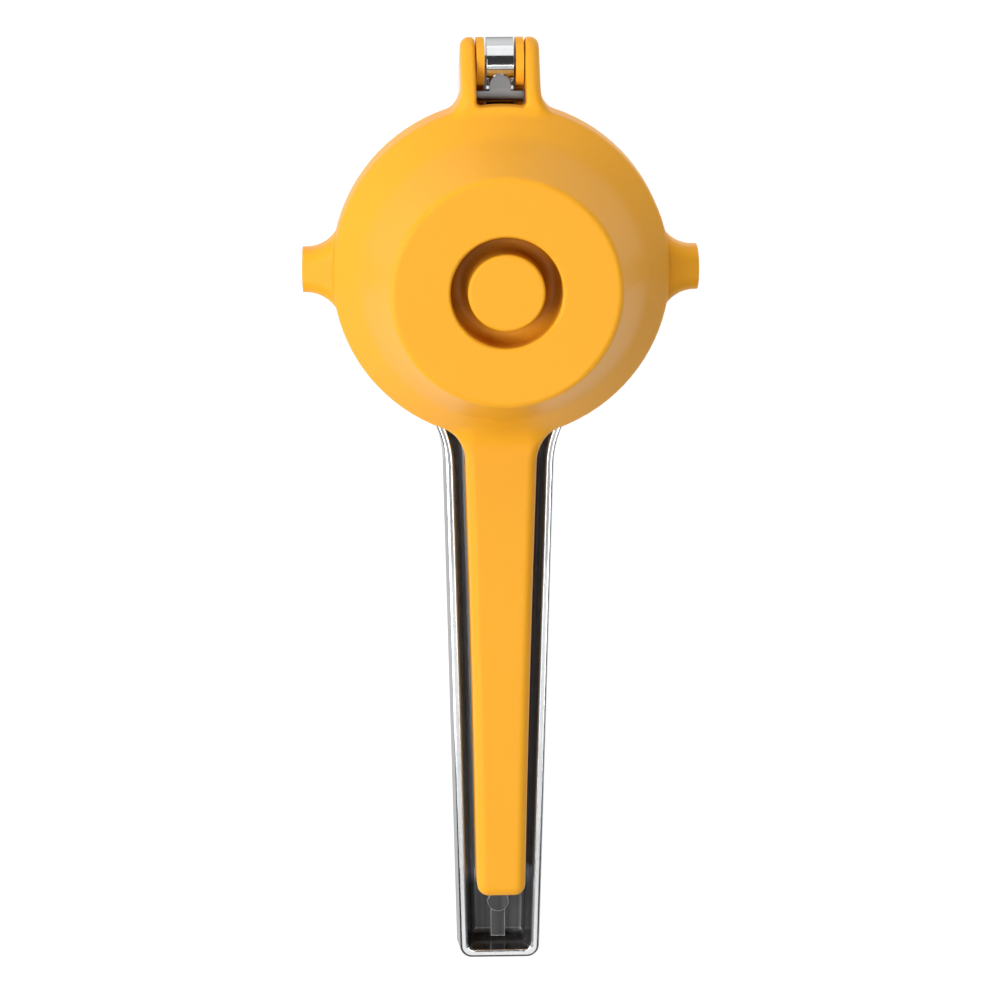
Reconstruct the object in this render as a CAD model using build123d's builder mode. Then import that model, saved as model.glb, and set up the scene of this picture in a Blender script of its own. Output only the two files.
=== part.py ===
import os
from math import acos, asin, atan2, cos, hypot, radians, sin, sqrt, tan

from build123d import *

os.makedirs("parts", exist_ok=True)

# Lemon squeezer, lying closed on the back of its press arm.
# Millimetres. X across the spouts, Y from the handle end to the hinge, Z up to the base of the cup.
# The origin is on the floor, under the middle of the box around the whole part.

# Layout along the part
RIM_R = 42.1
HINGE_R = 6.1
HINGE_STANDOFF = 9.35
HANDLE_REACH = 180.7
PIN_TO_CUP = RIM_R + HINGE_STANDOFF
CUP_Y = (HANDLE_REACH - PIN_TO_CUP - HINGE_R) / 2
PIN_Y = CUP_Y + PIN_TO_CUP

# Heights
RIM_Z = 14.0
RIM_GAP = 0.4
CUP_H = 38.5
BASE_Z = RIM_Z + CUP_H
PIN_Z = 12.0

# Hinge stack, from the middle outwards
PIN_R = 1.5
PIN_PLAY = 0.05
BARREL_HALF = 3.4
PLATE_GAP = 0.5
PLATE_T = 2.0
EAR_PLAY = 0.3
EAR_T = 3.6
PLATE_IN = BARREL_HALF + PLATE_GAP
PLATE_OUT = PLATE_IN + PLATE_T
EAR_IN = PLATE_OUT + EAR_PLAY
EAR_OUT = EAR_IN + EAR_T
PIN_SET = 0.15
PIN_CHAMFER = 0.3

# Cup outside
CUP_WALL = 2.6
RIM_EDGE_R = 2.5
RIM_WALL_H = 9.0
CONE_DEG = 54
VALLEY_IN = 6.9
VALLEY_R = RIM_R - VALLEY_IN
VALLEY_FILLET = 14.0
BASE_IN = 13.7
BASE_R = RIM_R - BASE_IN
BASE_EDGE_R = 1.6
GROOVE_OUT_SHARE = 0.484
GROOVE_W = 4.2
GROOVE_OUT_R = BASE_R * GROOVE_OUT_SHARE
GROOVE_IN_R = GROOVE_OUT_R - GROOVE_W
GROOVE_DEPTH = 8.0
GROOVE_EDGE_R = 0.8
INSIDE_FILLET = 2.0
OVERCUT = 1.0
JOIN = 0.4
CREASE_BAND = 8.0
CREASE_R = RIM_R - CREASE_BAND
ALONG_SHARE = 0.9

# Spouts
SPOUT_LENGTH = 7.5
SPOUT_REACH = RIM_R + SPOUT_LENGTH
SPOUT_W = 11.0
SPOUT_SINK = 7.1
SPOUT_ROOT = RIM_R - SPOUT_SINK
SPOUT_FLARE_SHARE = 17 / 15
SPOUT_FLARE_R = SPOUT_LENGTH * SPOUT_FLARE_SHARE
SPOUT_ROOT_H = 8.2
SPOUT_TIP_H = 6.8
SPOUT_EDGE_R = 3.6
SPOUT_LIP_R = 0.6
CHANNEL_W = 7.4
CHANNEL_D = 5.2
CHANNEL_R = 1.6

# Cup handle
SEAM = 0.1
PLATE_TOP = RIM_Z + RIM_WALL_H + RIM_EDGE_R
GRIP_SHORT = 19.8
GRIP_END = HANDLE_REACH - GRIP_SHORT
GRIP_SINK = 12.1
GRIP_ROOT = RIM_R - GRIP_SINK
GRIP_MID_SHARE = 0.608
GRIP_MID = GRIP_ROOT + (GRIP_END - GRIP_ROOT) * GRIP_MID_SHARE
GRIP_ROOT_HALF = 9.5
GRIP_MID_HALF = 7.1
GRIP_END_HALF = 6.05
GRIP_CORNER_R = 2.8
NECK_R = 10.5
NECK_BLEND_R = 8.0
GRIP_LOW_Z = 9.5
GRIP_LOW_GAP = 0.8
# The neck's rounding ends about here, and the lower half of the handle starts past it
NECK_END = sqrt((RIM_R - JOIN + NECK_R) ** 2 - (GRIP_ROOT_HALF + NECK_R) ** 2)
GRIP_LOW_START = NECK_END + GRIP_LOW_GAP
GRIP_LOW_LAP = 1.0
GRIP_WALL = 2.4
GRIP_TOP_T = 3.0
GRIP_CORE_START = GRIP_LOW_START + GRIP_WALL
GRIP_RIB_T = 1.8
GRIP_RIBS = 6

# Hinge ears of the cup
EAR_FLARE_R = 7.4
EAR_BLEND_R = 4.0
EAR_TURN_R = 5.0
EAR_EDGE_R = 2.2
EAR_INNER_EDGE_R = 1.0
EAR_SINK = 9.1
EAR_SHOULDER = 3.0
EAR_LOW_SINK = 1.1
EAR_ROOT_Y = RIM_R - EAR_SINK
EAR_SHOULDER_Y = RIM_R + EAR_SHOULDER
EAR_LOW_Y = RIM_R - EAR_LOW_SINK
WINDOW_H = 7.0
WINDOW_R = 1.2

# Press arm
RING_IN = 2.5
RING_R = RIM_R - RING_IN
ARM_TOP = RIM_Z - RIM_GAP
PART_LINE_Z = 6.0
ARM_DRAFT = 3.5
ARM_EDGE_R = 4.6
ARM_RIM_WALL = 2.0
ARM_FLOOR = 2.2
ARM_CORE_DRAFT = 8
ARM_CORE_R = 1.2
ARM_CORE_CORNER_R = 0.5
ARM_RIM_R = 0.6
ARM_ROOT_GAP = 13.9
ARM_ROOT = RIM_R + ARM_ROOT_GAP
ARM_ROOT_HALF = 13.95
ARM_END_HALF = 10.55
ARM_CORNER_R = 3.6
ARM_NECK_R = 25.0
ARM_INSIDE = 20.0
COLLAR_GAP = 10.4
COLLAR_WALL = 2.2
COLLAR_OUT_R = RING_R - COLLAR_GAP
COLLAR_IN_R = COLLAR_OUT_R - COLLAR_WALL
COLLAR_TOP = 10.4
ARM_BOSS_IN = 13.2
ARM_BOSS_AT = HANDLE_REACH - ARM_BOSS_IN
ARM_BOSS_R = 2.7
ARM_BOSS_H = 3.6
ARM_RIB_HALF = 1.8
ARM_RIB_H = 2.6
ARM_RIB_IN = 3.2
ARM_RIB_END = HANDLE_REACH - ARM_RIB_IN

# Hinge root of the press arm
ROOT_SINK = 1.4
ROOT_START_Y = RING_R - ROOT_SINK
ROOT_LOW_Z = 2.6
PAD_TOP = 17.8
PAD_LOW = 15.0
BAR_HALF = 5.85
BAR_SINK = 0.2
BAR_W = 3.0
BAR_NEAR = RIM_R - BAR_SINK
BAR_FAR = BAR_NEAR + BAR_W
BAR_EDGE_R = 1.2
TONGUE_HALF = 2.7
TONGUE_TO_PIN = 2.53
TONGUE_END = PIN_TO_CUP - TONGUE_TO_PIN
PLATE_SLOT_PLAY = 0.3

# Press head
HEAD_PLAY = 0.3
HEAD_FLANGE_IN = 3.3
HEAD_FLANGE_R = RING_R - HEAD_FLANGE_IN
HEAD_FLANGE_T = 2.8
HEAD_TOP = COLLAR_TOP + HEAD_FLANGE_T
HEAD_WALL = 2.6
HEAD_FLANGE_W = 7.3
HEAD_LEAN = 2.0
HEAD_FOOT_R = HEAD_FLANGE_R - HEAD_FLANGE_W
HEAD_SHOULDER_R = HEAD_FOOT_R - HEAD_LEAN
HEAD_DOME_H = 7.4
RIND_GAP = 5.8
HEAD_SHOULDER_FILLET = 7.5
HEAD_FOOT_FILLET = 3.0
SPIGOT_LOW = 3.6
SPIGOT_WALL = 2.4
HEAD_RIBS = 6
HEAD_RIB_T = 2.0
HEAD_RIB_DEPTH = 8.3
HEAD_HUB_R = 5.0
HEAD_EDGE_R = 0.8

# Press head screw
SCREW_IN = 2.6
SCREW_AT = HEAD_FLANGE_R - SCREW_IN
SCREW_R = 1.4
SCREW_HEAD_R = 2.8
SCREW_HEAD_H = 1.5
SCREW_SINK = 0.1
SCREW_END_Z = 10.2
SCREW_POINT = 1.0
SCREW_HOLE_PLAY = 0.15
SCREW_RECESS_R = 1.1
SCREW_RECESS_D = 1.0
SCREW_RECESS_SIDES = 6
SCREW_PAD_R = 3.4
SCREW_PAD_TOP = 4.8
SCREW_BOSS_R = 2.7
SCREW_BOSS_GAP = 0.2

# Strainer
STRAINER_SEAT_GAP = 0.2
STRAINER_SIDE_GAP = 0.8
STRAINER_TOP = 21.2
STRAINER_T = 2.0
STRAINER_TURN_GAP = 0.6
STRAINER_FLOOR_IN = 1.2
STRAINER_RIDGE_GAP = 0.2
STRAINER_FILLET = 3.0
STRAINER_SLOTS = 16
STRAINER_SLOT_W = 2.2
STRAINER_SLOT_IN = 7.0
STRAINER_SLOT_EDGE = 6.4
STRAINER_HOLE_R = 1.6
SCALLOP_W = 12.0
SCALLOP_IN = 4.2
SCALLOP_R = 2.0

# Heights and radii that follow from the ones above
CONE_TAN = tan(radians(CONE_DEG))
CONE_SIN = sin(radians(CONE_DEG))
CONE_COS = cos(radians(CONE_DEG))
EDGE_Z = RIM_Z + RIM_WALL_H
CONE_R = RIM_R - RIM_EDGE_R + RIM_EDGE_R * CONE_SIN
CONE_Z = EDGE_Z + RIM_EDGE_R * CONE_COS
VALLEY_Z = CONE_Z + (CONE_R - VALLEY_R) * CONE_TAN
WALL_SLOPE = (VALLEY_R - BASE_R) / (BASE_Z - VALLEY_Z)
RIM_IN_R = RIM_R - CUP_WALL
# The seat is the cone moved in by one wall
SEAT_Z = CONE_Z + (CONE_R - RIM_IN_R) * CONE_TAN - CUP_WALL / CONE_COS
LEDGE_R = VALLEY_R - CUP_WALL
LEDGE_Z = SEAT_Z + (RIM_IN_R - LEDGE_R) * CONE_TAN
FLOOR_Z = BASE_Z - CUP_WALL
FLOOR_R = LEDGE_R - (FLOOR_Z - LEDGE_Z) * WALL_SLOPE
GROOVE_Z = BASE_Z - GROOVE_DEPTH
GROOVE_HALF = (GROOVE_OUT_R - GROOVE_IN_R) / 2
EDGE_TURN = radians(90 - CONE_DEG)
EDGE_MID_R = RIM_R - RIM_EDGE_R + RIM_EDGE_R * cos(EDGE_TURN / 2)
EDGE_MID_Z = EDGE_Z + RIM_EDGE_R * sin(EDGE_TURN / 2)
GRIP_RIB_STEP = (GRIP_END - GRIP_CORE_START) / (GRIP_RIBS + 1)
RIDGE_Z = GROOVE_Z - CUP_WALL
RIDGE_OUT_R = GROOVE_OUT_R + CUP_WALL
RIDGE_IN_R = GROOVE_IN_R - CUP_WALL
RIDGE_HALF = (RIDGE_OUT_R - RIDGE_IN_R) / 2
STRAINER_R = RIM_IN_R - STRAINER_SIDE_GAP
STRAINER_TURN_R = LEDGE_R - STRAINER_TURN_GAP
STRAINER_FLOOR_R = BASE_R - STRAINER_FLOOR_IN
STRAINER_SLOT_OUT = STRAINER_FLOOR_R - STRAINER_SLOT_EDGE
SCALLOP_AT = STRAINER_R - SCALLOP_IN
STRAINER_FLOOR_Z = RIDGE_Z - STRAINER_RIDGE_GAP
HEAD_APEX_Z = STRAINER_FLOOR_Z - STRAINER_T - RIND_GAP
HEAD_SHOULDER_Z = HEAD_APEX_Z - HEAD_DOME_H
HEAD_RIB_LOW = HEAD_APEX_Z - HEAD_WALL - HEAD_RIB_DEPTH
STRAINER_LIP_R = RIM_IN_R - (STRAINER_TOP + STRAINER_SEAT_GAP + STRAINER_T / CONE_COS - SEAT_Z) / CONE_TAN
SPIGOT_R = COLLAR_IN_R - HEAD_PLAY
HEAD_HOLLOW_R = HEAD_SHOULDER_R - HEAD_WALL
HEAD_HOLLOW_Z = HEAD_SHOULDER_Z - HEAD_WALL / 2
# How far the inside edge of the press arm's rim is in from the parting line
ARM_SHRINK = ARM_RIM_WALL + (ARM_TOP - PART_LINE_Z) * tan(radians(ARM_DRAFT))
ARM_FLOOR_SHRINK = ARM_SHRINK + (ARM_TOP - ARM_FLOOR) * tan(radians(ARM_CORE_DRAFT))
SPOUT_SLOPE = (SPOUT_ROOT_H - SPOUT_TIP_H) / (SPOUT_REACH - RIM_R)
# The straight sides of an ear touch the round end along these turns from the pin
EAR_TOP_TURN = acos(HINGE_R / hypot(PIN_TO_CUP - EAR_SHOULDER_Y, PLATE_TOP - PIN_Z)) - atan2(
    PIN_TO_CUP - EAR_SHOULDER_Y, PLATE_TOP - PIN_Z
)
EAR_LOW_TURN = atan2(PIN_TO_CUP - EAR_LOW_Y, PIN_Z - RIM_Z) - acos(
    HINGE_R / hypot(PIN_TO_CUP - EAR_LOW_Y, RIM_Z - PIN_Z)
)

# Planes through the cup axis
CUP_SECTION = Plane(origin=(0, CUP_Y, 0), x_dir=(1, 0, 0), z_dir=(0, -1, 0))
SIDE = Plane(origin=(0, CUP_Y, 0), x_dir=(0, 1, 0), z_dir=(1, 0, 0))
CUP_AXIS = Axis((0, CUP_Y, 0), (0, 0, 1))
SCREW_AXIS = Axis((0, CUP_Y - SCREW_AT, 0), (0, 0, 1))


def at_height(z):
    return Plane(origin=(0, CUP_Y, z), x_dir=(1, 0, 0), z_dir=(0, 0, 1))


def cap_middle(r, low, high):
    # Half-way point of a round cap that is high on the axis and low at radius r
    cap_r = (r * r + (high - low) * (high - low)) / (2 * (high - low))
    turn = asin(r / cap_r) / 2
    return (cap_r * sin(turn), high - cap_r + cap_r * cos(turn))


def seat_z(r):
    return SEAT_Z + (RIM_IN_R - r) * CONE_TAN


def arm_half(reach):
    return ARM_ROOT_HALF + (ARM_ROOT - reach) * (ARM_ROOT_HALF - ARM_END_HALF) / (HANDLE_REACH - ARM_ROOT)


# Block of the cup arm's two ears, with the flare at its root
with BuildPart() as ears:
    with BuildSketch(at_height(PIN_Z - HINGE_R)):
        Circle(RIM_R - JOIN)
        with Locations((0, (PIN_TO_CUP + HINGE_R) / 2)):
            Rectangle(EAR_OUT * 2, PIN_TO_CUP + HINGE_R)
        with Locations((0, EAR_ROOT_Y - RIM_R)):
            Rectangle(RIM_R * 2, RIM_R * 2, mode=Mode.SUBTRACT)
    extrude(amount=PLATE_TOP - PIN_Z + HINGE_R)
    flares = ears.edges().filter_by(Axis.Z).filter_by(
        lambda e: abs(abs(e.center().X) - EAR_OUT) < SEAM and e.center().Y < CUP_Y + RIM_R
    )
    fillet(flares, EAR_FLARE_R)
    with BuildSketch(SIDE) as profile:
        with Locations((PIN_TO_CUP, PIN_Z)):
            Circle(HINGE_R)
        Polygon(
            (EAR_ROOT_Y, RIM_Z),
            (EAR_LOW_Y, RIM_Z),
            (PIN_TO_CUP - HINGE_R * sin(EAR_LOW_TURN), PIN_Z - HINGE_R * cos(EAR_LOW_TURN)),
            (PIN_TO_CUP + HINGE_R * sin(EAR_TOP_TURN), PIN_Z + HINGE_R * cos(EAR_TOP_TURN)),
            (EAR_SHOULDER_Y, PLATE_TOP),
            (EAR_ROOT_Y, PLATE_TOP),
            align=None,
        )
        turn = profile.vertices().filter_by(lambda v: v.Y > PLATE_TOP - SEAM and v.X > EAR_LOW_Y)
        fillet(turn, EAR_TURN_R)
    extrude(amount=RIM_R, both=True, mode=Mode.INTERSECT)
    top = ears.edges().filter_by(lambda e: e.center().Z > RIM_Z + SEAM)
    top = top.filter_by(
        lambda e: abs(e.center().X) > EAR_OUT - SEAM and e.center().Y > CUP_Y + EAR_ROOT_Y + SEAM
    )
    fillet(top.filter_by(lambda e: abs(e.tangent_at().Z) < ALONG_SHARE), EAR_EDGE_R)

# One pour spout, on the side of +X
with BuildPart() as spout:
    with BuildSketch(at_height(RIM_Z)):
        Circle(RIM_R - JOIN)
        with Locations((SPOUT_REACH / 2, 0)):
            Rectangle(SPOUT_REACH + SPOUT_W, SPOUT_W)
        Circle(SPOUT_REACH, mode=Mode.INTERSECT)
        with Locations((SPOUT_ROOT - RIM_R, 0)):
            Rectangle(RIM_R * 2, RIM_R * 2, mode=Mode.SUBTRACT)
    extrude(amount=SPOUT_ROOT_H + SPOUT_SLOPE * (RIM_R - SPOUT_ROOT) + OVERCUT)
    flares = spout.edges().filter_by(Axis.Z).filter_by(
        lambda e: abs(abs(e.center().Y - CUP_Y) - SPOUT_W / 2) < SEAM and e.center().X < RIM_R
    )
    fillet(flares, SPOUT_FLARE_R)
    with BuildSketch(CUP_SECTION):
        Polygon(
            (SPOUT_ROOT - SPOUT_W, RIM_Z + SPOUT_ROOT_H + SPOUT_SLOPE * (RIM_R - SPOUT_ROOT + SPOUT_W)),
            (SPOUT_ROOT - SPOUT_W, BASE_Z),
            (SPOUT_REACH + SPOUT_W, BASE_Z),
            (SPOUT_REACH + SPOUT_W, RIM_Z + SPOUT_TIP_H - SPOUT_SLOPE * SPOUT_W),
            align=None,
        )
    extrude(amount=RIM_R, both=True, mode=Mode.SUBTRACT)
    near = spout.faces().sort_by(Axis.Z)[-1]
    sides = near.edges().filter_by(lambda e: e.center().X > SPOUT_ROOT + SEAM)
    sides = sides.filter_by(lambda e: e.center().X < SPOUT_REACH - SPOUT_LIP_R)
    fillet(sides, SPOUT_EDGE_R)

# The cup arm's handle with its neck, cored from below with cross ribs
with BuildPart() as grip:
    with BuildSketch(at_height(RIM_Z)) as outline:
        Circle(RIM_R - JOIN)
        with BuildLine():
            right = ThreePointArc(
                (GRIP_ROOT_HALF, -GRIP_ROOT), (GRIP_MID_HALF, -GRIP_MID), (GRIP_END_HALF, -GRIP_END)
            )
            left = ThreePointArc(
                (-GRIP_ROOT_HALF, -GRIP_ROOT), (-GRIP_MID_HALF, -GRIP_MID), (-GRIP_END_HALF, -GRIP_END)
            )
            Line(right @ 0, left @ 0)
            Line(right @ 1, left @ 1)
        make_face()
        with Locations((0, RIM_R - GRIP_ROOT)):
            Rectangle(RIM_R * 2, RIM_R * 2, mode=Mode.SUBTRACT)
        fillet(outline.vertices().sort_by(Axis.Y)[:2], GRIP_CORNER_R)
        neck = outline.vertices().filter_by(lambda v: -RIM_R < v.Y < -GRIP_ROOT and abs(v.X) < NECK_R)
        fillet(neck, NECK_R)
    extrude(amount=PLATE_TOP - RIM_Z)
    top = grip.faces().sort_by(Axis.Z)[-1]
    fillet(top.edges().filter_by(lambda e: e.center().Y < CUP_Y - GRIP_ROOT - SEAM), RIM_EDGE_R)
    with BuildSketch(at_height(GRIP_LOW_Z)) as lower:
        with BuildLine():
            right = ThreePointArc(
                (GRIP_ROOT_HALF, -GRIP_ROOT), (GRIP_MID_HALF, -GRIP_MID), (GRIP_END_HALF, -GRIP_END)
            )
            left = ThreePointArc(
                (-GRIP_ROOT_HALF, -GRIP_ROOT), (-GRIP_MID_HALF, -GRIP_MID), (-GRIP_END_HALF, -GRIP_END)
            )
            Line(right @ 0, left @ 0)
            Line(right @ 1, left @ 1)
        make_face()
        with Locations((0, RIM_R - GRIP_LOW_START)):
            Rectangle(RIM_R * 2, RIM_R * 2, mode=Mode.SUBTRACT)
        fillet(lower.vertices(), GRIP_CORNER_R)
    extrude(amount=RIM_Z + GRIP_LOW_LAP - GRIP_LOW_Z)
    with BuildSketch(at_height(GRIP_LOW_Z)) as core:
        with BuildLine():
            right = ThreePointArc(
                (GRIP_ROOT_HALF - GRIP_WALL, -GRIP_ROOT),
                (GRIP_MID_HALF - GRIP_WALL, -GRIP_MID),
                (GRIP_END_HALF - GRIP_WALL, -GRIP_END),
            )
            left = ThreePointArc(
                (GRIP_WALL - GRIP_ROOT_HALF, -GRIP_ROOT),
                (GRIP_WALL - GRIP_MID_HALF, -GRIP_MID),
                (GRIP_WALL - GRIP_END_HALF, -GRIP_END),
            )
            Line(right @ 0, left @ 0)
            Line(right @ 1, left @ 1)
        make_face()
        with Locations((0, RIM_R - GRIP_CORE_START)):
            Rectangle(RIM_R * 2, RIM_R * 2, mode=Mode.SUBTRACT)
        for rib in range(GRIP_RIBS + 1):
            with Locations((0, -GRIP_CORE_START - (rib + 1) * GRIP_RIB_STEP)):
                Rectangle(RIM_R, GRIP_RIB_T + (GRIP_WALL if rib == GRIP_RIBS else 0), mode=Mode.SUBTRACT)
    extrude(amount=PLATE_TOP - GRIP_TOP_T - GRIP_LOW_Z, mode=Mode.SUBTRACT)

# Cup arm: the cup turned about its axis, with ears, spouts and handle moulded on
with BuildPart() as cup_arm:
    with BuildSketch(CUP_SECTION) as shape:
        with BuildLine():
            Polyline((0, RIM_Z), (RIM_R, RIM_Z), (RIM_R, EDGE_Z))
            ThreePointArc(
                (RIM_R, EDGE_Z),
                (EDGE_MID_R, EDGE_MID_Z),
                (CONE_R, CONE_Z),
            )
            Polyline(
                (CONE_R, CONE_Z),
                (VALLEY_R, VALLEY_Z),
                (BASE_R, BASE_Z),
                (GROOVE_OUT_R, BASE_Z),
                (GROOVE_OUT_R, GROOVE_Z + GROOVE_HALF),
            )
            ThreePointArc(
                (GROOVE_OUT_R, GROOVE_Z + GROOVE_HALF),
                (GROOVE_OUT_R - GROOVE_HALF, GROOVE_Z),
                (GROOVE_IN_R, GROOVE_Z + GROOVE_HALF),
            )
            Polyline((GROOVE_IN_R, GROOVE_Z + GROOVE_HALF), (GROOVE_IN_R, BASE_Z), (0, BASE_Z), (0, RIM_Z))
        make_face()
        corners = shape.vertices()
        fillet(corners.filter_by(lambda v: abs(v.X - VALLEY_R) < SEAM), VALLEY_FILLET)
        fillet(shape.vertices().filter_by(lambda v: abs(v.X - BASE_R) < SEAM), BASE_EDGE_R)
        mouth = shape.vertices().filter_by(lambda v: v.Y > BASE_Z - SEAM)
        fillet(mouth.filter_by(lambda v: GROOVE_IN_R - SEAM < v.X < GROOVE_OUT_R + SEAM), GROOVE_EDGE_R)
    revolve(axis=CUP_AXIS)
    add(grip.part)
    add(ears.part)
    # The plate runs into the handle and the ears without a crease
    plate = cup_arm.edges().filter_by(
        lambda e: e.center().Z > EDGE_Z - OVERCUT and abs(e.center().X) < CREASE_R
    )
    fillet(plate.filter_by(lambda e: CREASE_R < CUP_Y - e.center().Y < RIM_R), NECK_BLEND_R)
    plate = cup_arm.edges().filter_by(
        lambda e: e.center().Z > EDGE_Z - OVERCUT and abs(e.center().X) < CREASE_R
    )
    fillet(plate.filter_by(lambda e: CREASE_R < e.center().Y - CUP_Y < RIM_R), EAR_BLEND_R)
    add(spout.part)
    add(spout.part.rotate(CUP_AXIS, 180))
    with BuildSketch(CUP_SECTION) as hollow:
        with BuildLine():
            Polyline(
                (0, RIM_Z - OVERCUT),
                (RIM_IN_R, RIM_Z - OVERCUT),
                (RIM_IN_R, SEAT_Z),
                (LEDGE_R, LEDGE_Z),
                (FLOOR_R, FLOOR_Z),
                (RIDGE_OUT_R, FLOOR_Z),
                (RIDGE_OUT_R, RIDGE_Z + RIDGE_HALF),
            )
            ThreePointArc(
                (RIDGE_OUT_R, RIDGE_Z + RIDGE_HALF),
                (RIDGE_OUT_R - RIDGE_HALF, RIDGE_Z),
                (RIDGE_IN_R, RIDGE_Z + RIDGE_HALF),
            )
            Polyline(
                (RIDGE_IN_R, RIDGE_Z + RIDGE_HALF),
                (RIDGE_IN_R, FLOOR_Z),
                (0, FLOOR_Z),
                (0, RIM_Z - OVERCUT),
            )
        make_face()
        fillet(hollow.vertices().filter_by(lambda v: v.Y > FLOOR_Z - SEAM and v.X > SEAM), INSIDE_FILLET)
    revolve(axis=CUP_AXIS, mode=Mode.SUBTRACT)
    with BuildSketch(at_height(PIN_Z - HINGE_R)):
        with Locations((0, RIM_R)):
            Rectangle(EAR_IN * 2, (RIM_R - EAR_ROOT_Y) * 2)
    extrude(amount=RIM_Z + WINDOW_H - PIN_Z + HINGE_R, mode=Mode.SUBTRACT)
    with BuildSketch(Plane(origin=(0, CUP_Y, RIM_Z), x_dir=(0, 1, 0), z_dir=(1, 0, 0))) as channel:
        Rectangle(CHANNEL_W, CHANNEL_D * 2)
        fillet(channel.vertices().filter_by(lambda v: v.Y > 0), CHANNEL_R)
    extrude(amount=RIM_R + SPOUT_REACH, both=True, mode=Mode.SUBTRACT)
    with BuildSketch(at_height(PIN_Z - HINGE_R)) as gap:
        with Locations((0, PIN_TO_CUP)):
            Rectangle(EAR_IN * 2, (PIN_TO_CUP - EAR_ROOT_Y) * 2)
        Circle(RIM_R, mode=Mode.SUBTRACT)
        fillet(gap.vertices().sort_by(Axis.Y)[:2], WINDOW_R)
    extrude(amount=BASE_Z, mode=Mode.SUBTRACT)
    inner = cup_arm.edges().filter_by(
        lambda e: e.center().Y > PIN_Y - HINGE_R and abs(abs(e.center().X) - EAR_IN) < SEAM
    )
    fillet(inner.filter_by(lambda e: abs(e.tangent_at().X) < SEAM), EAR_INNER_EDGE_R)
    with BuildSketch(SIDE):
        with Locations((PIN_TO_CUP, PIN_Z)):
            Circle(PIN_R)
    extrude(amount=EAR_OUT + OVERCUT, both=True, mode=Mode.SUBTRACT)
cup_arm.part.label = "cup_arm"
export_step(cup_arm.part, "parts/cup_arm.step")

# Strainer: a slotted dish that rests on the sloped step of the cup wall
with BuildPart() as strainer:
    with BuildSketch(CUP_SECTION) as shape:
        with BuildLine():
            Polyline(
                (STRAINER_R, STRAINER_TOP),
                (STRAINER_R, seat_z(STRAINER_R) - STRAINER_SEAT_GAP),
                (STRAINER_TURN_R, seat_z(STRAINER_TURN_R) - STRAINER_SEAT_GAP),
                (STRAINER_FLOOR_R, STRAINER_FLOOR_Z),
                (0, STRAINER_FLOOR_Z),
                (0, STRAINER_FLOOR_Z - STRAINER_T),
                (STRAINER_FLOOR_R - STRAINER_T, STRAINER_FLOOR_Z - STRAINER_T),
                (STRAINER_TURN_R - STRAINER_T, seat_z(STRAINER_TURN_R) - STRAINER_SEAT_GAP - STRAINER_T),
                (STRAINER_LIP_R, STRAINER_TOP),
                (STRAINER_R, STRAINER_TOP),
            )
        make_face()
        fillet(shape.vertices().filter_by(lambda v: abs(v.X - STRAINER_FLOOR_R) < SEAM), STRAINER_FILLET)
    revolve(axis=CUP_AXIS)
    with BuildSketch(at_height(STRAINER_FLOOR_Z)):
        Circle(STRAINER_HOLE_R)
        with PolarLocations((STRAINER_SLOT_IN + STRAINER_SLOT_OUT) / 2, STRAINER_SLOTS):
            SlotOverall(STRAINER_SLOT_OUT - STRAINER_SLOT_IN, STRAINER_SLOT_W)
    extrude(amount=STRAINER_T * 2, both=True, mode=Mode.SUBTRACT)
    with BuildSketch(at_height(RIM_Z)):
        with Locations((SCALLOP_AT + SCALLOP_W / 2, 0), (-SCALLOP_AT - SCALLOP_W / 2, 0)):
            RectangleRounded(SCALLOP_W, SCALLOP_W, SCALLOP_R)
    extrude(amount=CUP_H, mode=Mode.SUBTRACT)
strainer.part.label = "strainer"
export_step(strainer.part, "parts/strainer.step")

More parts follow.
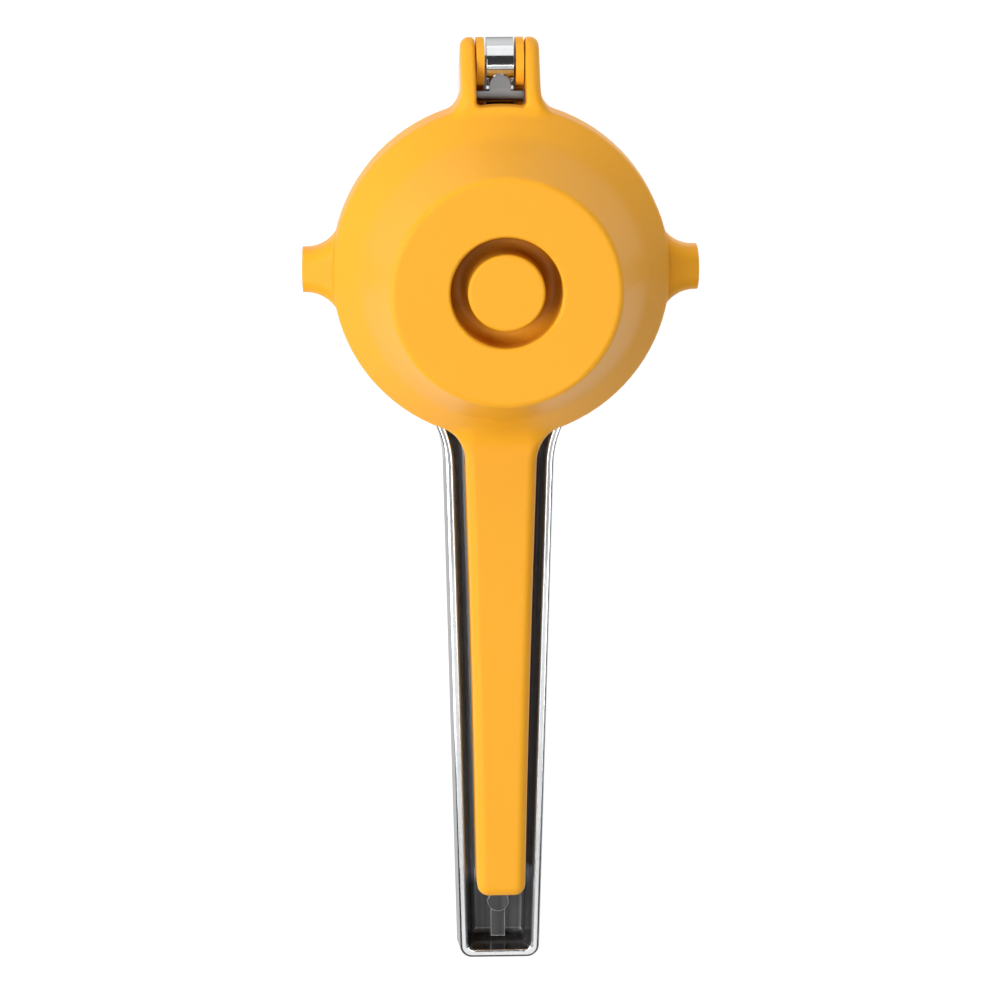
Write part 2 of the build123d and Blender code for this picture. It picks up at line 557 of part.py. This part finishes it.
# Press arm: a shell casting that is open towards the cup, with a ring, a channel handle and the hinge root
with BuildPart() as press_arm:
    with BuildSketch(at_height(PART_LINE_Z)) as outline:
        Circle(RING_R)
        Polygon(
            (arm_half(ARM_INSIDE), -ARM_INSIDE),
            (ARM_END_HALF, -HANDLE_REACH),
            (-ARM_END_HALF, -HANDLE_REACH),
            (-arm_half(ARM_INSIDE), -ARM_INSIDE),
            align=None,
        )
        fillet(outline.vertices().sort_by(Axis.Y)[:2], ARM_CORNER_R)
        fillet(outline.vertices().filter_by(lambda v: -RING_R < v.Y < -ARM_INSIDE), ARM_NECK_R)
    upper = outline.sketch
    extrude(amount=ARM_TOP - PART_LINE_Z, taper=ARM_DRAFT)
    extrude(upper, amount=-PART_LINE_Z, taper=ARM_DRAFT)
    fillet(press_arm.faces().sort_by(Axis.Z)[0].edges(), ARM_EDGE_R)
    with BuildSketch(at_height(ARM_FLOOR)) as core:
        Circle(RING_R - ARM_FLOOR_SHRINK)
        Polygon(
            (arm_half(ARM_INSIDE) - ARM_FLOOR_SHRINK, -ARM_INSIDE),
            (ARM_END_HALF - ARM_FLOOR_SHRINK, ARM_FLOOR_SHRINK - HANDLE_REACH),
            (ARM_FLOOR_SHRINK - ARM_END_HALF, ARM_FLOOR_SHRINK - HANDLE_REACH),
            (ARM_FLOOR_SHRINK - arm_half(ARM_INSIDE), -ARM_INSIDE),
            align=None,
        )
        fillet(core.vertices().sort_by(Axis.Y)[:2], ARM_CORE_CORNER_R)
        neck = core.vertices().filter_by(lambda v: -RING_R < v.Y < -ARM_INSIDE)
        fillet(neck, ARM_NECK_R + ARM_FLOOR_SHRINK)
    extrude(amount=ARM_TOP - ARM_FLOOR + OVERCUT, taper=-ARM_CORE_DRAFT, mode=Mode.SUBTRACT)
    with BuildSketch(at_height(ARM_FLOOR / 2)):
        Circle(COLLAR_OUT_R)
    extrude(amount=COLLAR_TOP - ARM_FLOOR / 2)
    floor = press_arm.faces().filter_by(Axis.Z).filter_by(lambda f: abs(f.center().Z - ARM_FLOOR) < SEAM)
    fillet(floor.edges(), ARM_CORE_R)
    fillet(press_arm.faces().sort_by(Axis.Z)[-1].edges(), ARM_RIM_R)
    with BuildSketch(at_height(0)):
        Circle(COLLAR_IN_R)
    extrude(amount=ARM_TOP, mode=Mode.SUBTRACT)
    with BuildSketch(SIDE):
        with Locations((PIN_TO_CUP, PIN_Z)):
            Circle(HINGE_R)
        Polygon(
            (ROOT_START_Y, ROOT_LOW_Z),
            (PIN_TO_CUP, PIN_Z - HINGE_R),
            (PIN_TO_CUP, PIN_Z),
            (BAR_FAR, PAD_LOW),
            (BAR_NEAR, PAD_LOW),
            (ROOT_START_Y, ARM_TOP),
            align=None,
        )
    extrude(amount=BARREL_HALF, both=True)
    with BuildSketch(at_height(PAD_LOW)):
        with Locations((0, (BAR_NEAR + BAR_FAR) / 2)):
            Rectangle(BAR_HALF * 2, BAR_FAR - BAR_NEAR)
        with Locations((0, (BAR_NEAR + TONGUE_END - TONGUE_HALF) / 2)):
            Rectangle(TONGUE_HALF * 2, TONGUE_END - TONGUE_HALF - BAR_NEAR)
        with Locations((0, TONGUE_END - TONGUE_HALF)):
            Circle(TONGUE_HALF)
    extrude(amount=PAD_TOP - PAD_LOW)
    front = press_arm.edges().filter_by(Axis.X).filter_by(lambda e: abs(e.center().Z - PAD_TOP) < SEAM)
    fillet(front.filter_by(lambda e: abs(e.center().Y - CUP_Y - BAR_NEAR) < SEAM), BAR_EDGE_R)
    with BuildSketch(SIDE):
        with Locations((PIN_TO_CUP, PIN_Z)):
            Circle(PIN_R + PIN_PLAY)
    extrude(amount=EAR_OUT, both=True, mode=Mode.SUBTRACT)
    with BuildSketch(at_height(COLLAR_TOP - PLATE_SLOT_PLAY)):
        with Locations(((PLATE_IN + PLATE_OUT) / 2, RING_R), (-(PLATE_IN + PLATE_OUT) / 2, RING_R)):
            Rectangle(PLATE_T + PLATE_SLOT_PLAY * 2, (RING_R - HEAD_FLANGE_R + OVERCUT) * 2)
    extrude(amount=ARM_TOP - COLLAR_TOP + OVERCUT, mode=Mode.SUBTRACT)
    with BuildSketch(at_height(ARM_FLOOR / 2)):
        with Locations((0, -ARM_BOSS_AT)):
            Circle(ARM_BOSS_R)
    extrude(amount=ARM_FLOOR / 2 + ARM_BOSS_H)
    with BuildSketch(at_height(ARM_FLOOR / 2)):
        with Locations((0, -(ARM_BOSS_AT + ARM_RIB_END) / 2)):
            Rectangle(ARM_RIB_HALF * 2, ARM_RIB_END - ARM_BOSS_AT)
    extrude(amount=ARM_FLOOR / 2 + ARM_RIB_H)
    with BuildSketch(at_height(ARM_FLOOR / 2)):
        with Locations((0, -SCREW_AT)):
            Circle(SCREW_PAD_R)
    extrude(amount=SCREW_PAD_TOP - ARM_FLOOR / 2)
    with BuildSketch(SIDE):
        Polygon(
            (-SCREW_AT, -OVERCUT),
            (-SCREW_AT - SCREW_HEAD_R - SCREW_HOLE_PLAY, -OVERCUT),
            (-SCREW_AT - SCREW_HEAD_R - SCREW_HOLE_PLAY, SCREW_SINK),
            (-SCREW_AT - SCREW_R - SCREW_HOLE_PLAY, SCREW_SINK + SCREW_HEAD_H),
            (-SCREW_AT - SCREW_R - SCREW_HOLE_PLAY, SCREW_PAD_TOP + OVERCUT),
            (-SCREW_AT, SCREW_PAD_TOP + OVERCUT),
            align=None,
        )
    revolve(axis=SCREW_AXIS, mode=Mode.SUBTRACT)
press_arm.part.label = "press_arm"
export_step(press_arm.part, "parts/press_arm.step")

# Press head: a hollow ribbed dome on a flange, with two thin hinge plates that lie beside the barrel
with BuildPart() as press_head:
    with BuildSketch(CUP_SECTION) as shape:
        with BuildLine():
            ThreePointArc(
                (0, HEAD_APEX_Z),
                cap_middle(HEAD_SHOULDER_R, HEAD_SHOULDER_Z, HEAD_APEX_Z),
                (HEAD_SHOULDER_R, HEAD_SHOULDER_Z),
            )
            Polyline(
                (HEAD_SHOULDER_R, HEAD_SHOULDER_Z),
                (HEAD_FOOT_R, HEAD_TOP),
                (HEAD_FLANGE_R, HEAD_TOP),
                (HEAD_FLANGE_R, COLLAR_TOP),
                (SPIGOT_R, COLLAR_TOP),
                (SPIGOT_R, SPIGOT_LOW),
                (SPIGOT_R - SPIGOT_WALL, SPIGOT_LOW),
                (HEAD_HOLLOW_R, HEAD_HOLLOW_Z),
            )
            ThreePointArc(
                (HEAD_HOLLOW_R, HEAD_HOLLOW_Z),
                cap_middle(HEAD_HOLLOW_R, HEAD_HOLLOW_Z, HEAD_APEX_Z - HEAD_WALL),
                (0, HEAD_APEX_Z - HEAD_WALL),
            )
            Line((0, HEAD_APEX_Z - HEAD_WALL), (0, HEAD_APEX_Z))
        make_face()
        outside = shape.vertices().filter_by(lambda v: abs(v.X - HEAD_SHOULDER_R) < SEAM)
        fillet(outside, HEAD_SHOULDER_FILLET)
        inside = shape.vertices().filter_by(lambda v: abs(v.X - HEAD_HOLLOW_R) < SEAM and v.Y > HEAD_TOP)
        fillet(inside, HEAD_SHOULDER_FILLET - HEAD_WALL)
        fillet(shape.vertices().filter_by(lambda v: abs(v.X - HEAD_FOOT_R) < SEAM), HEAD_FOOT_FILLET)
        fillet(shape.vertices().filter_by(lambda v: abs(v.X - HEAD_FLANGE_R) < SEAM), HEAD_EDGE_R)
    revolve(axis=CUP_AXIS)
    with BuildSketch(at_height(HEAD_RIB_LOW)):
        Circle(HEAD_HUB_R)
        for rib in range(HEAD_RIBS // 2):
            with Locations(Rotation(0, 0, rib * 360 / HEAD_RIBS)):
                Rectangle((SPIGOT_R - SPIGOT_WALL / 2) * 2, HEAD_RIB_T)
    extrude(until=Until.NEXT)
    with BuildSketch(Plane(origin=(PLATE_IN, CUP_Y, 0), x_dir=(0, 1, 0), z_dir=(1, 0, 0))):
        with Locations((PIN_TO_CUP, PIN_Z)):
            Circle(HINGE_R)
        Polygon(
            (HEAD_FOOT_R, COLLAR_TOP),
            (PIN_TO_CUP, COLLAR_TOP),
            (PIN_TO_CUP, HEAD_TOP),
            (HEAD_FOOT_R, HEAD_TOP),
            align=None,
        )
    extrude(amount=PLATE_T)
    with BuildSketch(Plane(origin=(-PLATE_OUT, CUP_Y, 0), x_dir=(0, 1, 0), z_dir=(1, 0, 0))):
        with Locations((PIN_TO_CUP, PIN_Z)):
            Circle(HINGE_R)
        Polygon(
            (HEAD_FOOT_R, COLLAR_TOP),
            (PIN_TO_CUP, COLLAR_TOP),
            (PIN_TO_CUP, HEAD_TOP),
            (HEAD_FOOT_R, HEAD_TOP),
            align=None,
        )
    extrude(amount=PLATE_T)
    with BuildSketch(SIDE):
        with Locations((PIN_TO_CUP, PIN_Z)):
            Circle(PIN_R + PIN_PLAY)
    extrude(amount=EAR_OUT, both=True, mode=Mode.SUBTRACT)
    with BuildSketch(at_height(SCREW_PAD_TOP + SCREW_BOSS_GAP)):
        with Locations((0, -SCREW_AT)):
            Circle(SCREW_BOSS_R)
    extrude(amount=COLLAR_TOP + SEAM - SCREW_PAD_TOP - SCREW_BOSS_GAP)
    with BuildSketch(at_height(SCREW_PAD_TOP)):
        with Locations((0, -SCREW_AT)):
            Circle(SCREW_R)
    extrude(amount=SCREW_END_Z + SCREW_BOSS_GAP - SCREW_PAD_TOP, mode=Mode.SUBTRACT)
press_head.part.label = "press_head"
export_step(press_head.part, "parts/press_head.step")

# Press head screw: countersunk, driven from the back of the press arm
with BuildPart() as press_head_screw:
    with BuildSketch(SIDE):
        Polygon(
            (-SCREW_AT, SCREW_SINK),
            (-SCREW_AT - SCREW_HEAD_R, SCREW_SINK),
            (-SCREW_AT - SCREW_R, SCREW_SINK + SCREW_HEAD_H),
            (-SCREW_AT - SCREW_R, SCREW_END_Z - SCREW_POINT),
            (-SCREW_AT - SCREW_R + SCREW_POINT, SCREW_END_Z),
            (-SCREW_AT, SCREW_END_Z),
            align=None,
        )
    revolve(axis=SCREW_AXIS)
    with BuildSketch(at_height(0)):
        with Locations((0, -SCREW_AT)):
            RegularPolygon(SCREW_RECESS_R, SCREW_RECESS_SIDES)
    extrude(amount=SCREW_SINK + SCREW_RECESS_D, mode=Mode.SUBTRACT)
press_head_screw.part.label = "press_head_screw"
export_step(press_head_screw.part, "parts/press_head_screw.step")

# Hinge pin: pressed into the two ears of the cup arm, runs in the barrel and in the thin plates
with BuildPart() as hinge_pin:
    with BuildSketch(SIDE):
        with Locations((PIN_TO_CUP, PIN_Z)):
            Circle(PIN_R)
    extrude(amount=EAR_OUT - PIN_SET, both=True)
    chamfer(hinge_pin.edges().filter_by(GeomType.CIRCLE), PIN_CHAMFER)
hinge_pin.part.label = "hinge_pin"
export_step(hinge_pin.part, "parts/hinge_pin.step")
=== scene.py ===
import math

import bpy
from mathutils import Matrix, Vector

# The squeezer lies closed on the back of its press arm, as it came out of the construction model.
# Metres: X across the spouts, Y from the handle ends to the hinge, Z up to the base of the cup.
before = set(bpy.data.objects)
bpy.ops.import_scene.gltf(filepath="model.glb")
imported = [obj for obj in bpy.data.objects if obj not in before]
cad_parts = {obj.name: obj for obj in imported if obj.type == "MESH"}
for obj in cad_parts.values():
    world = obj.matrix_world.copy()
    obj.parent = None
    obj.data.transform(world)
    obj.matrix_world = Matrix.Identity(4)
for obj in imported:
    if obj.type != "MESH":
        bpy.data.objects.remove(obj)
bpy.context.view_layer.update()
scene = bpy.context.scene
scene.view_settings.view_transform = "Standard"

# Cup arm: the juice cup, its pour spouts, the outer hinge ears and the handle are one nylon moulding.
# The nylon is warm yellow all through, and its satin skin is the fine spark-eroded grain of the mould.
# Deep in the ring groove the colour is darkened as painted shade, least so on the handle side, where the
# groove's wall is lit.
NYLON_DEEP = (0.885, 0.385, 0.018, 1)
NYLON_PALE = (0.915, 0.42, 0.026, 1)
NYLON_PAINTED_SHADE = (0.36, 0.125, 0.008, 1)
NYLON_DRIFT = 34
NYLON_DRIFT_SHARE = 0.7
NYLON_SPECK = 900
NYLON_SPECK_DETAIL = 3.0
NYLON_GRAIN = 2600
NYLON_GRAIN_DEPTH = 0.00004
NYLON_SATIN = 0.42
NYLON_SATIN_DRIFT = 0.1
NYLON_GLOSS = 0.13
NYLON_BEND = 1.53
NOISE_MIDDLE = 0.5
CUP_AXIS_Y = 0.061575
GROOVE_MIDDLE = 0.01165
GROOVE_HALF = 0.0023
GROOVE_SIDE_FADE = 0.0004
GROOVE_MOUTH = 0.0521
GROOVE_MOUTH_FADE = 0.003
GROOVE_FLOOR = 0.044
GROOVE_LIT_Y = 0.0575
GROOVE_LIT_FADE = 0.007
GROOVE_LIT_SHARE = 0.6


class Wire:
    """One socket in a finish's nodes, so that sums on it are written as plain Python."""

    def __init__(self, finish, socket):
        self.finish = finish
        self.socket = socket

    def maths(self, operation, first, second):
        return self.finish.node("ShaderNodeMath", {"operation": operation}, {0: first, 1: second})

    def root(self):
        return self.maths("SQRT", self, 0)

    def size(self):
        return self.maths("ABSOLUTE", self, 0)

    def limit(self):
        return self.finish.node("ShaderNodeClamp", {}, {0: self})

    def fade(self, width):
        return (self * (1 / width)).limit()

    def __add__(self, other):
        return self.maths("ADD", self, other)

    def __sub__(self, other):
        return self.maths("SUBTRACT", self, other)

    def __rsub__(self, other):
        return self.maths("SUBTRACT", other, self)

    def __mul__(self, other):
        return self.maths("MULTIPLY", self, other)

    __radd__ = __add__
    __rmul__ = __mul__


class Finish:
    """A material of the squeezer: one Principled shader and the nodes that feed it."""

    def __init__(self, name, **fixed):
        self.material = bpy.data.materials.new(name)
        self.material.use_nodes = True
        self.tree = self.material.node_tree
        self.tree.nodes.clear()
        output = self.tree.nodes.new("ShaderNodeOutputMaterial")
        self.shader = self.tree.nodes.new("ShaderNodeBsdfPrincipled")
        self.tree.links.new(self.shader.outputs["BSDF"], output.inputs["Surface"])
        self.feed(**fixed)

    def feed(self, **values):
        for name, value in values.items():
            self.join(self.shader.inputs[name.replace("_", " ")], value)

    def join(self, socket, value):
        if isinstance(value, Wire):
            self.tree.links.new(value.socket, socket)
        else:
            socket.default_value = value

    def node(self, kind, settings, sockets, result=0):
        made = self.tree.nodes.new(kind)
        for name, value in settings.items():
            setattr(made, name, value)
        for name, value in sockets.items():
            self.join(made.inputs[name], value)
        return Wire(self, made.outputs[result])

    def place(self):
        return self.node("ShaderNodeTexCoord", {}, {}, "Object")

    def axes(self):
        first = self.node("ShaderNodeSeparateXYZ", {}, {0: self.place()})
        return [Wire(self, socket) for socket in first.socket.node.outputs]

    def stretched(self, shares):
        sockets = {0: self.place(), 1: shares}
        return self.node("ShaderNodeVectorMath", {"operation": "MULTIPLY"}, sockets)

    def noise(self, scale, detail=2.0, place=None):
        sockets = {"Vector": place or self.place(), "Scale": scale, "Detail": detail}
        return self.node("ShaderNodeTexNoise", {}, sockets, "Fac")

    def mix(self, share, first, second):
        return self.node("ShaderNodeMix", {"data_type": "RGBA"}, {0: share, 6: first, 7: second}, 2)

    def bump(self, height, depth, normal=None):
        sockets = {"Height": height, "Distance": depth}
        if normal:
            sockets["Normal"] = normal
        return self.node("ShaderNodeBump", {}, sockets)


def dress(node, finish):
    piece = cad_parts[node]
    piece.data.materials.clear()
    piece.data.materials.append(finish.material)


nylon = Finish("satin_nylon", Specular_IOR_Level=NYLON_GLOSS, IOR=NYLON_BEND)
drift = nylon.noise(NYLON_DRIFT)
speck = nylon.noise(NYLON_SPECK, NYLON_SPECK_DETAIL)
grain = nylon.noise(NYLON_GRAIN)
across, along, height = nylon.axes()
# Painted shade: a darker nylon colour is mixed in by place deep in the ring groove, and eased on its lit
# handle side.
from_axis = across * across + (along - CUP_AXIS_Y) * (along - CUP_AXIS_Y)
from_middle = (from_axis.root() - GROOVE_MIDDLE).size()
groove_shade = (GROOVE_HALF - from_middle).fade(GROOVE_SIDE_FADE)
groove_shade = groove_shade * (GROOVE_MOUTH - height).fade(GROOVE_MOUTH_FADE)
groove_shade = groove_shade * (height - GROOVE_FLOOR).fade(GROOVE_SIDE_FADE)
groove_lit_side = (GROOVE_LIT_Y - along).fade(GROOVE_LIT_FADE)
groove_shade = groove_shade * (1 - groove_lit_side * GROOVE_LIT_SHARE)
mottle = drift * NYLON_DRIFT_SHARE + speck * (1 - NYLON_DRIFT_SHARE)
nylon.feed(
    Base_Color=nylon.mix(groove_shade, nylon.mix(mottle, NYLON_DEEP, NYLON_PALE), NYLON_PAINTED_SHADE),
    Roughness=NYLON_SATIN + (drift - NOISE_MIDDLE) * NYLON_SATIN_DRIFT,
    Normal=nylon.bump(grain, NYLON_GRAIN_DEPTH),
)
dress("cup_arm", nylon)

# Strainer: a loose slotted dish of the same nylon that keeps pips and pulp back.
# It drops into the open side of the cup and rests on the sloped step of the wall.
dress("strainer", nylon)

# Press arm: hinge barrel, ring and channel handle in one zinc die casting, chrome plated all over.
# Outside it is polished, with a faint waviness left by the wheel, and the hinge pad is ground flat.
# Wheels do not reach into the channel, which stays greyer and streaked; by height and towards its end its
# greys are painted light and shade, and its edges carry a painted glint.
CHROME_TINT = (0.58, 0.585, 0.59, 1)
CHROME_DULL = (0.52, 0.525, 0.53, 1)
CHROME_GRAZED = (0.42, 0.42, 0.425, 1)
CHROME_WAVE = 90
CHROME_WAVE_DETAIL = 1.0
CHROME_WAVE_DEPTH = 0.00002
CHROME_SCRATCH = 1400
CHROME_SCRATCH_DETAIL = 4.0
CHROME_POLISH = 0.03
CHROME_HAZE = 0.06
CHROME_EDGE_R = 0.0003
CHROME_EDGE_RAYS = 4
CHANNEL_HALF = 0.0119
CHANNEL_TAPER = 0.02727
CHANNEL_END = -0.1162
CHANNEL_NEAR = 0.03
CHANNEL_FADE = 0.0004
CHANNEL_LOW = 0.004
CHANNEL_LOW_FADE = 0.001
CHANNEL_HIGH = 0.0065
CHANNEL_HIGH_FADE = 0.002
CHANNEL_ROUGH = 0.12
CHANNEL_BARE = 0.62
CHANNEL_STREAK = 420
STREAK_SHARES = (1, 0.02, 1)
STREAK_CONTRAST = 2.5
WALL_TONES = ((0.35, 0.375, 0.405, 1), (0.80, 0.855, 0.92, 1))
FLOOR_TONES = ((0.30, 0.32, 0.35, 1), (0.64, 0.69, 0.75, 1))
HIGH_SHADE_TONES = ((0.11, 0.135, 0.17, 1), (0.32, 0.385, 0.47, 1))
END_SHADE_TONES = ((0.048, 0.048, 0.051, 1), (0.105, 0.105, 0.108, 1))
END_NEAR = -0.094
END_FADE = 0.008
EDGE_GLINT_TONE = (0.95, 0.955, 0.96, 1)
EDGE_GLINT_REACH = 18
PAD_LOW = 0.01765
PAD_FAR = 0.1107
PAD_FADE = 0.00008
PAD_TINT = (0.17, 0.17, 0.175, 1)
PAD_SATIN = 0.36
BARREL_NEAR = 0.1069
BARREL_ROUGH = 0.04
chrome = Finish("chrome_plate", Specular_Tint=CHROME_GRAZED)
across, along, height = chrome.axes()
inside = (along * CHANNEL_TAPER + CHANNEL_HALF - across.size()).fade(CHANNEL_FADE)
inside = inside * (along - CHANNEL_END).fade(CHANNEL_FADE)
inside = inside * (CHANNEL_NEAR - along).fade(CHANNEL_FADE)
low = (CHANNEL_LOW - height).fade(CHANNEL_LOW_FADE)
high = (height - CHANNEL_HIGH).fade(CHANNEL_HIGH_FADE)
at_end = (END_NEAR - along).fade(END_FADE)
pad = (height - PAD_LOW).fade(PAD_FADE) * (PAD_FAR - along).fade(PAD_FADE)
barrel = (along - BARREL_NEAR).fade(CHANNEL_FADE)
wave = chrome.noise(CHROME_WAVE, CHROME_WAVE_DETAIL)
haze = chrome.noise(CHROME_SCRATCH, CHROME_SCRATCH_DETAIL)
streak = chrome.noise(CHANNEL_STREAK, place=chrome.stretched(STREAK_SHARES))
streak = ((streak - NOISE_MIDDLE) * STREAK_CONTRAST + NOISE_MIDDLE).limit()
edge = chrome.node("ShaderNodeBevel", {"samples": CHROME_EDGE_RAYS}, {"Radius": CHROME_EDGE_R})
face = chrome.node("ShaderNodeNewGeometry", {}, {}, "Normal")
level = chrome.node("ShaderNodeVectorMath", {"operation": "DOT_PRODUCT"}, {0: edge, 1: face}, "Value")
# Painted highlight: edges found by the bevel normal are painted near white as glints.
edge_glint = ((1 - level) * EDGE_GLINT_REACH).limit()
plate = chrome.mix(pad, chrome.mix(haze, CHROME_TINT, CHROME_DULL), PAD_TINT)
# Painted light and shade: the channel's greys are set by height, pale on its floor and walls to stand in for
# light, dark high on the walls near the lips and darkest towards the closed end as painted shade.
channel_shading = chrome.mix(low, chrome.mix(streak, *WALL_TONES), chrome.mix(streak, *FLOOR_TONES))
channel_shading = chrome.mix(high, channel_shading, chrome.mix(streak, *HIGH_SHADE_TONES))
channel_shading = chrome.mix(at_end, channel_shading, chrome.mix(streak, *END_SHADE_TONES))
channel_shading = chrome.mix(edge_glint, channel_shading, EDGE_GLINT_TONE)
polish = haze * CHROME_HAZE + CHROME_POLISH + barrel * BARREL_ROUGH
chrome.feed(
    Base_Color=chrome.mix(inside, plate, channel_shading),
    Metallic=1 - inside * CHANNEL_BARE,
    Roughness=polish + inside * CHANNEL_ROUGH + pad * PAD_SATIN,
    Normal=chrome.bump(wave, CHROME_WAVE_DEPTH, edge),
)
dress("press_arm", chrome)

# Press head: the nylon dome that pushes the half lemon inside out, cored and ribbed behind.
# It drops into the chrome ring, and its two thin plates sit on the pin beside the barrel.
dress("press_head", nylon)

# Press head screw and hinge pin: plain steel from the lathe.
# The screw is driven from the back of the press arm, and the pin is pressed into the cup arm's ears.
STEEL_TINT = (0.36, 0.36, 0.37, 1)
STEEL_DARK = (0.20, 0.20, 0.21, 1)
STEEL_LATHE = 1800
STEEL_LATHE_DETAIL = 3.0
STEEL_LATHE_DEPTH = 0.00002
STEEL_ROUGH = 0.25
STEEL_ROUGH_DRIFT = 0.25
steel = Finish("turned_steel", Metallic=1.0)
lathe = steel.noise(STEEL_LATHE, STEEL_LATHE_DETAIL)
steel.feed(
    Base_Color=steel.mix(lathe, STEEL_DARK, STEEL_TINT),
    Roughness=lathe * STEEL_ROUGH_DRIFT + STEEL_ROUGH,
    Normal=steel.bump(lathe, STEEL_LATHE_DEPTH),
)
dress("press_head_screw", steel)
dress("hinge_pin", steel)

# Stage floor: a white light table under the squeezer.
# A soft black patch in the table's glow under the hinge is a painted shadow, so that no glow comes up
# through its gaps.
FLOOR_SIDE = 6.0
FLOOR_GLOW = 0.95
FLOOR_WHITE = (1, 1, 1, 1)
FLOOR_PAPER = ((0.17, 0.17, 0.17, 1), (0.20, 0.20, 0.20, 1))
FLOOR_FIBRE = 40
FLOOR_FIBRE_DETAIL = 3.0
FLOOR_MATT = 0.9
HINGE_SHADOW_Y = 0.1024
HINGE_SHADOW_HALF = 0.0105
HINGE_SHADOW_HALF_LONG = 0.0112
HINGE_SHADOW_FADE = 0.004
HINGE_SHADOW_BLACK = (0.01, 0.01, 0.01, 1)
floor_mesh = bpy.data.meshes.new("floor")
corners = [(x * FLOOR_SIDE, y * FLOOR_SIDE, 0) for x, y in ((-1, -1), (1, -1), (1, 1), (-1, 1))]
floor_mesh.from_pydata(corners, [], [(0, 1, 2, 3)])
floor = bpy.data.objects.new("floor", floor_mesh)
scene.collection.objects.link(floor)
table = Finish("light_table", Roughness=FLOOR_MATT, Specular_IOR_Level=0.0, Emission_Strength=FLOOR_GLOW)
across, along, height = table.axes()
# Painted shadow: the table's glow is faded to black by place under the hinge.
hinge_shadow = (HINGE_SHADOW_HALF - across.size()).fade(HINGE_SHADOW_FADE)
hinge_shadow = hinge_shadow * (HINGE_SHADOW_HALF_LONG - (along - HINGE_SHADOW_Y).size()).fade(HINGE_SHADOW_FADE)
table.feed(
    Base_Color=table.mix(table.noise(FLOOR_FIBRE, FLOOR_FIBRE_DETAIL), *FLOOR_PAPER),
    Emission_Color=table.mix(hinge_shadow, FLOOR_WHITE, HINGE_SHADOW_BLACK),
)
floor_mesh.materials.append(table.material)

# Studio: pale walls that darken towards the ceiling.
# Their light is even all round, so that the chrome has greys to mirror.
WALL_LIGHT = (0.38, 0.38, 0.38, 1)
CEILING_LIGHT = (0.06, 0.06, 0.062, 1)
WALL_TOP = 0.3
world = bpy.data.worlds.new("studio")
world.use_nodes = True
nodes = world.node_tree.nodes
joins = world.node_tree.links
direction = nodes.new("ShaderNodeTexCoord")
upward = nodes.new("ShaderNodeSeparateXYZ")
rise = nodes.new("ShaderNodeMapRange")
rise.interpolation_type = "SMOOTHSTEP"
rise.inputs["From Max"].default_value = WALL_TOP
blend = nodes.new("ShaderNodeMix")
blend.data_type = "RGBA"
blend.inputs[6].default_value = WALL_LIGHT
blend.inputs[7].default_value = CEILING_LIGHT
joins.new(direction.outputs["Generated"], upward.inputs[0])
joins.new(upward.outputs["Z"], rise.inputs["Value"])
joins.new(rise.outputs["Result"], blend.inputs[0])
joins.new(blend.outputs[2], nodes["Background"].inputs["Color"])
scene.world = world

# Lamps: the key box stands at the left, with weaker boxes above and behind the hinge turned to the squeezer.
# The narrow strips hang level, where the flat faces of the chrome handle mirror them to the camera.
# Each row has a lamp's name, place, width, length, power in watts, and whether it is turned.
LAMP_AIM = Vector((0, 0.03, 0.02))
LAMPS = (
    ("key_box", (-0.90, 0.0, 1.07), 0.9, 0.9, 18.5, True),
    ("left_box", (-0.16, -0.25, 1.3), 0.2, 0.4, 2.4, True),
    ("right_box", (0.26, -0.25, 1.3), 0.2, 0.4, 2.4, True),
    ("hinge_box", (0.06, 1.0, 0.50), 0.9, 1.0, 4.3, True),
    ("left_strip", (0.036, -0.39, 1.29), 0.032, 0.17, 0.025, False),
    ("right_strip", (0.088, -0.39, 1.29), 0.034, 0.17, 0.027, False),
    ("end_strip", (0.062, -0.515, 1.29), 0.1, 0.08, 0.037, False),
    ("left_neck_strip", (0.036, -0.26, 1.29), 0.032, 0.09, 0.0058, False),
    ("right_neck_strip", (0.088, -0.26, 1.29), 0.034, 0.09, 0.0062, False),
)
for name, place, width, length, power, turned in LAMPS:
    lamp = bpy.data.lights.new(name, "AREA")
    lamp.shape = "RECTANGLE"
    lamp.size = width
    lamp.size_y = length
    lamp.energy = power
    box = bpy.data.objects.new(name, lamp)
    box.matrix_world = Matrix.Translation(place)
    if turned:
        box.matrix_world @= (Vector(place) - LAMP_AIM).to_track_quat("Z", "Y").to_matrix().to_4x4()
    scene.collection.objects.link(box)

# Camera: above the cup base, a little to the hinge side and to the left, as the photograph was taken.
# Its focus is in pixels of the square picture.
CAMERA_AIM = Vector((0.0001, 0.001665, 0.014))
CAMERA_PITCH = math.radians(12.23)
CAMERA_ROLL = math.radians(2.73)
CAMERA_FAR = 1.5
CAMERA_FOCUS = 5936.4
CAMERA_CLIP = 0.05
SENSOR_SIDE = 36
PICTURE_SIDE = 1000
out = Vector(
    (
        -math.sin(CAMERA_ROLL) * math.cos(CAMERA_PITCH),
        math.sin(CAMERA_PITCH),
        math.cos(CAMERA_ROLL) * math.cos(CAMERA_PITCH),
    )
).normalized()
up = (Vector((0, 1, 0)) - out * out.y).normalized()
right = up.cross(out)
lens = bpy.data.cameras.new("camera")
lens.sensor_width = SENSOR_SIDE
lens.lens = CAMERA_FOCUS / PICTURE_SIDE * lens.sensor_width
lens.clip_start = CAMERA_CLIP
camera = bpy.data.objects.new("camera", lens)
turn = Matrix((right, up, out)).transposed().to_4x4()
camera.matrix_world = Matrix.Translation(CAMERA_AIM + out * CAMERA_FAR) @ turn
scene.collection.objects.link(camera)
scene.camera = camera
